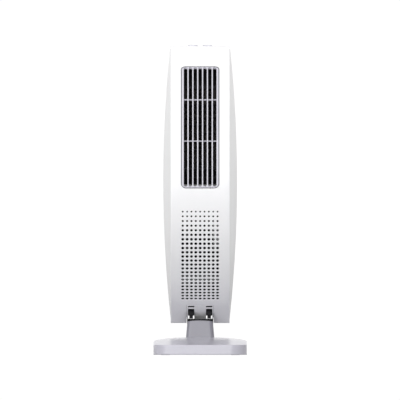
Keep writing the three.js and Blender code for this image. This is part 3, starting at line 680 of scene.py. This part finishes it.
def top_cap():
    low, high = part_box("top_cap")
    radius = REAR_CORNER
    outline = [(low.x + 0.4 * MM, low.y + 8 * MM), (high.x - 0.4 * MM, low.y + 8 * MM)]
    outline += line(outline[-1], (high.x, high.y - radius), 5 * MM)
    outline += arc(high.x - radius, high.y - radius, radius, 0, 90, 10)
    outline += line((high.x - radius, high.y), (low.x + radius, high.y), 5 * MM)
    outline += arc(low.x + radius, high.y - radius, radius, 90, 180, 10)
    outline += line((low.x, high.y - radius), outline[0], 5 * MM)
    holes = []
    for name in ("button_power", "button_mode"):
        a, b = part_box(name)
        holes.append(rounded(a.x - GAP, b.x + GAP, a.y - GAP, b.y + GAP, 4.4 * MM))

    def place(u, v, out):
        return u, v, high.z + out

    made = plate(outline, holes, low.z - high.z, 0, 0.5 * MM, place=place)
    return piece("crown", *made, WHITE, "body", "white_shell", ["top_cap"])


def button(node, body):
    """A push-button with a rounded rim and a shallow dish."""
    low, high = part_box(node)
    rings = []
    rim = 1.0 * MM
    profile = [(0, low.z), (0, high.z - rim)]
    for a in map(math.radians, EDGE_ANGLES):
        profile.append((rim * (1 - math.cos(a)), high.z - rim * (1 - math.sin(a))))
    profile += [(2.2 * MM, high.z - 0.12 * MM), (4 * MM, high.z - 0.3 * MM), (6.2 * MM, high.z - 0.38 * MM)]
    for inset, z in profile:
        radius = max(4 * MM - inset, 0.4 * MM)
        plan = rounded(low.x + inset, high.x - inset, low.y + inset, high.y - inset, radius, 6, 1)
        rings.append([(x, y, z) for x, y in plan])
    return piece(f"{node}_key", *stack(rings), LILAC, body, "lilac_grey", [node])


# ---- hinge ----
def hinge_arm(node, pin):
    low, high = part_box(node)
    pin_low, pin_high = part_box(pin)
    centre = (pin_low + pin_high) / 2
    radius, eye = 8.5 * MM, 2.35 * MM
    reach = math.degrees(math.asin(eye / radius))
    side = math.degrees(math.acos(7 / 8.5))
    foot = low.z - centre.z
    outline = [(-3.5 * MM, foot), (7 * MM, foot)]
    outline += arc(0, 0, radius, -side, 180 - reach, 22)
    outline += arc(0, 0, eye, 90, -90, 12)
    outline += arc(0, 0, radius, 180 + reach, 229, 6)
    outline += [(-5.5 * MM, -14 * MM), (-3.5 * MM, -15.5 * MM)]
    half = (high.x - low.x) / 2

    def place(y, z, out):
        narrow = 3.7 / 6 if z < -15 * MM else 1
        return centre.x + out * narrow, centre.y + y, centre.z + z

    made = plate(polygon(outline, 1 * MM), [], -half, half, 0.5 * MM, 1 * MM, place)
    return piece(f"{node}_hook", *made, BLACK, "stand", "black_plastic", [node])


def hinge_pin(node):
    low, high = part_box(node)
    radius = (high.z - low.z) / 2
    cy, cz = (low.y + high.y) / 2, (low.z + high.z) / 2
    chamfer = 0.3 * MM
    profile = [(low.x, radius - chamfer), (low.x + chamfer, radius)]
    profile += [(high.x - chamfer, radius), (high.x, radius - chamfer)]
    rings = [[(x, y, z) for y, z in circle(cy, cz, r, 32)] for x, r in profile]
    return piece(f"{node}_rod", *stack(rings), STEEL, "body", "steel", [node])


# ---- stand ----
CROSS_HALF = 0.35 * MM
CROSS_REACH = 1.7 * MM
SCREW_SHANK = ((-1.25 * MM, 2 * MM), (-6 * MM, 1.6 * MM))


def screw(node, body, axis):
    """A pan-head screw with a cross recess; axis points out of the head."""
    low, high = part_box(node)
    centre = (low + high) / 2
    radius = (high.x - low.x) / 2

    def place(u, v, out):
        if axis == "y":
            return centre.x + u, high.y + out, centre.z + v
        return centre.x + u, centre.y + v, low.z - out

    a, b = CROSS_HALF, CROSS_REACH
    cross = [(b, -a), (b, a), (a, a), (a, b), (-a, b), (-a, a)]
    cross += [(-b, a), (-b, -a), (-a, -a), (-a, -b), (a, -b), (a, -a)]
    head = plate(circle(0, 0, radius, 32), [cross], -1.2 * MM, 0, 0.3 * MM, 1 * MM, place)
    rings = [[place(u, v, out) for u, v in circle(0, 0, r, 16)] for out, r in SCREW_SHANK]
    return piece(f"{node}_head", *joined(head, stack(rings)), STEEL, body, "steel", [node])


NECK_SLOPE = 0.45
NECK_SLOPE_START = FACE_Y + 180.5 * MM

BASE_SKIRT_TOP = 20 * MM
BASE_CREST = 36 * MM
BASE_CORNER = 36 * MM
BASE_SHOULDER = 0.45
CREST_Y = FACE_Y + 185 * MM


def dome_ring(h, z, shrink=0.0):
    """The dome's plan at a share h of its rise."""
    beyond = max(0, h - BASE_SHOULDER) / (1 - BASE_SHOULDER)
    half = base_high.x * math.sqrt(1 - beyond**2) - shrink
    near = CREST_Y - (CREST_Y - base_low.y) * math.sqrt(1 - h) + shrink
    far = CREST_Y + (base_high.y - CREST_Y) * (1 - h**2) ** 0.35 - shrink
    radius = BASE_CORNER * (1 - 0.3 * h)
    return [(x, y, z) for x, y in rounded(-half, half, near, far, radius, 16, sides=12)]


def base_cover():
    bottom = base_low.z
    rings = [dome_ring(0, bottom, 0.5 * MM), dome_ring(0, bottom + 0.5 * MM)]
    rings += [dome_ring(0, z) for z in np.linspace(bottom + 2 * MM, BASE_SKIRT_TOP - 0.8 * MM, 5)]
    for a in np.linspace(0, math.pi / 2, 28):
        h = math.sin(a) * 0.985
        rings.append(dome_ring(h, BASE_SKIRT_TOP + (BASE_CREST - BASE_SKIRT_TOP) * h))
    return piece("base_shell", *stack(rings), LILAC, "stand", "lilac_grey", ["base_cover"], sharp=50)


NECK_TOP = 67 * MM
NECK_ARCH = 1.9 * MM
NECK_HALF = 25.6 * MM
NECK_TAPER = 0.09
NECK_FOOT = 33 * MM
NECK_EDGE = ((0.15 * MM, 0.15 * MM), (0.3 * MM, 0.5 * MM), (0.35 * MM, 1.2 * MM))


def neck():
    """The tapered neck, with rounded corners and a slightly arched upper edge in front."""
    low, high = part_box("neck_shell")
    draft = NECK_TAPER * (NECK_TOP - low.z)
    front, back = low.y + draft, high.y - draft
    levels = [(z, 0) for z in np.linspace(NECK_FOOT, NECK_TOP, 24)]
    levels += [(NECK_TOP + rise, inset) for rise, inset in NECK_EDGE]
    rings = []
    for z, inset in levels:
        spread = NECK_TAPER * max(0, NECK_TOP - z) - inset
        half = NECK_HALF + spread
        plan = rounded(-half, half, front - spread, back + spread, 8.5 * MM - inset, 10, sides=14)
        plan = np.array([(*p, z) for p in plan])
        share = (z - NECK_FOOT) / (NECK_TOP - NECK_FOOT)
        ahead = np.clip((0.075 - plan[:, 1]) / 0.02, 0, 1)
        fall = np.clip(plan[:, 1] - NECK_SLOPE_START, 0, None) * NECK_SLOPE
        plan[:, 2] += share * (NECK_ARCH * (1 - (plan[:, 0] / NECK_HALF) ** 2) * ahead - fall)
        rings.append(plan)
    # The neck takes the darkened lilac: painted shade under the body's belly.
    piece("neck_cover", *stack(rings), NECK_PAINTED_SHADE, "stand", "lilac_grey", ["neck_shell"])


def foot(node):
    low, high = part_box(node)
    cx, cy = (low.x + high.x) / 2, (low.y + high.y) / 2
    radius = (high.x - low.x) / 2
    profile = [(low.z, radius - 0.8 * MM), (low.z + 0.3 * MM, radius - 0.2 * MM)]
    profile += [(low.z + 0.7 * MM, radius), (high.z, radius)]
    rings = [[(x, y, z) for x, y in circle(cx, cy, r, 48)] for z, r in profile]
    return piece(f"{node}_pad", *stack(rings), RUBBER, "stand", "rubber_foot", [node])


CORD_BORE = 3.6 * MM


def gland():
    low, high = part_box("cord_gland")
    cx, cz = (low.x + high.x) / 2, (low.z + high.z) / 2
    radius = (high.x - low.x) / 2
    bore = circle(0, 0, CORD_BORE, 32)

    def place(u, v, out):
        return cx + u, high.y + out, cz + v

    made = plate(circle(0, 0, radius, 48), [bore], low.y - high.y, 0, 0.8 * MM, 2 * MM, place)
    return piece("cord_inlet", *made, BLACK, "stand", "black_plastic", ["cord_gland"])


front_panel()
hinge_insert()
outlet()
rear_shell()
rear_grille()
top_cap()
button("button_power", "power_button")
button("button_mode", "mode_button")
for side in ("left", "right"):
    hinge_arm(f"hinge_arm_{side}", f"hinge_pin_{side}")
    hinge_pin(f"hinge_pin_{side}")
base_cover()
neck()
gland()
for i in range(1, 5):
    foot(f"foot_{i}")
    screw(f"rear_screw_{i}", "body", "y")
    screw(f"base_screw_{i}", "stand", "z")

# ---- CAD nodes that keep their own shape ----
CARRIED = {
    DARK: ("inner_louvre", "core_frame", "air_duct", "blower_housing", "blower_wheel"),
    BLACK: ("neck_cap", "base_plate", "tip_switch"),
    WHITE_SIDE: ("pivot_bracket",),
    STEEL: ("motor", "motor_shaft", "ballast_plate"),
    CERAMIC: ("heating_core",),
    ALUMINIUM: ("thermal_cutout",),
    BOARD: ("control_board", "power_board"),
    FOAM: ("dust_filter",),
}
for material, names in CARRIED.items():
    for name in names:
        slots = frame["nodes"][name].data.materials
        slots.clear()
        slots.append(material)


# ---- stage: floor, light and camera ----
FLOOR_TONE = (0.24, 0.24, 0.25)
FLOOR_REACH = 20.0


def floor():
    mesh = bpy.data.meshes.new("floor")
    corners = [(x * FLOOR_REACH, y * FLOOR_REACH, 0) for x, y in ((-1, -1), (1, -1), (1, 1), (-1, 1))]
    mesh.from_pydata(corners, [], [(0, 1, 2, 3)])
    made = bpy.data.objects.new("floor", mesh)
    bpy.context.scene.collection.objects.link(made)
    mesh.materials.append(moulded("floor_pale", FLOOR_TONE, 0.7, grain=300.0, drift=0.01))


BACKDROP = 1.03
HORIZON = 0.72
ZENITH = 0.85


def world():
    """A studio: a white backdrop behind the object, and elsewhere a sky that brightens upwards."""
    sky = bpy.data.worlds.new("studio")
    bpy.context.scene.world = sky
    sky.use_nodes = True
    nodes, links = sky.node_tree.nodes, sky.node_tree.links
    direction = nodes.new("ShaderNodeSeparateXYZ")
    links.new(nodes.new("ShaderNodeTexCoord").outputs["Generated"], direction.inputs["Vector"])
    height = nodes.new("ShaderNodeMapRange")
    height.inputs["To Min"].default_value = HORIZON
    height.inputs["To Max"].default_value = ZENITH
    links.new(direction.outputs["Z"], height.inputs["Value"])
    behind = nodes.new("ShaderNodeMapRange")
    behind.inputs["From Min"].default_value = 0.1
    behind.inputs["From Max"].default_value = 0.7
    links.new(direction.outputs["Y"], behind.inputs["Value"])
    mix = nodes.new("ShaderNodeMix")
    mix.inputs["B"].default_value = BACKDROP
    links.new(behind.outputs["Result"], mix.inputs["Factor"])
    links.new(height.outputs["Result"], mix.inputs["A"])
    links.new(mix.outputs["Result"], nodes["Background"].inputs["Strength"])
    nodes["Background"].inputs["Color"].default_value = (1, 1, 1, 1)


KEY = 2.5
KEY_DIRECTION = (0.2, 1, -0.1)
KEY_SPREAD = math.radians(60)
SOFTBOX_PLACE = (-2.2, -2.6, 0.7)
SOFTBOX_TARGET = (0, 0, 0.2)
SOFTBOX_SIZE = 0.9
SOFTBOX_POWER = 8


def sun(direction, irradiance, spread):
    """Soft light from far away; direction is the way it shines."""
    data = bpy.data.lights.new("key", "SUN")
    data.energy = irradiance
    data.angle = spread
    made = bpy.data.objects.new("key", data)
    made.rotation_mode = "QUATERNION"
    made.rotation_quaternion = Vector(direction).to_track_quat("-Z", "Y")
    bpy.context.scene.collection.objects.link(made)


def area_light(name, location, target, size, power):
    data = bpy.data.lights.new(name, "AREA")
    data.shape = "DISK"
    data.size = size
    data.energy = power
    made = bpy.data.objects.new(name, data)
    made.location = location
    made.rotation_mode = "QUATERNION"
    made.rotation_quaternion = (Vector(target) - Vector(location)).to_track_quat("-Z", "Y")
    bpy.context.scene.collection.objects.link(made)


CAMERA_Z = 310 * MM
FRAME_WIDTH = 800 * MM


def camera():
    data = bpy.data.cameras.new("camera")
    data.type = "ORTHO"
    data.ortho_scale = FRAME_WIDTH
    made = bpy.data.objects.new("camera", data)
    made.location = (-0.3 * MM, -3.0, CAMERA_Z)
    made.rotation_euler = (math.pi / 2, 0, 0)
    bpy.context.scene.collection.objects.link(made)
    bpy.context.scene.camera = made


floor()
world()
sun(KEY_DIRECTION, KEY, KEY_SPREAD)
area_light("left_softbox", SOFTBOX_PLACE, SOFTBOX_TARGET, SOFTBOX_SIZE, SOFTBOX_POWER)
camera()
bpy.context.scene.view_settings.view_transform = "Standard"
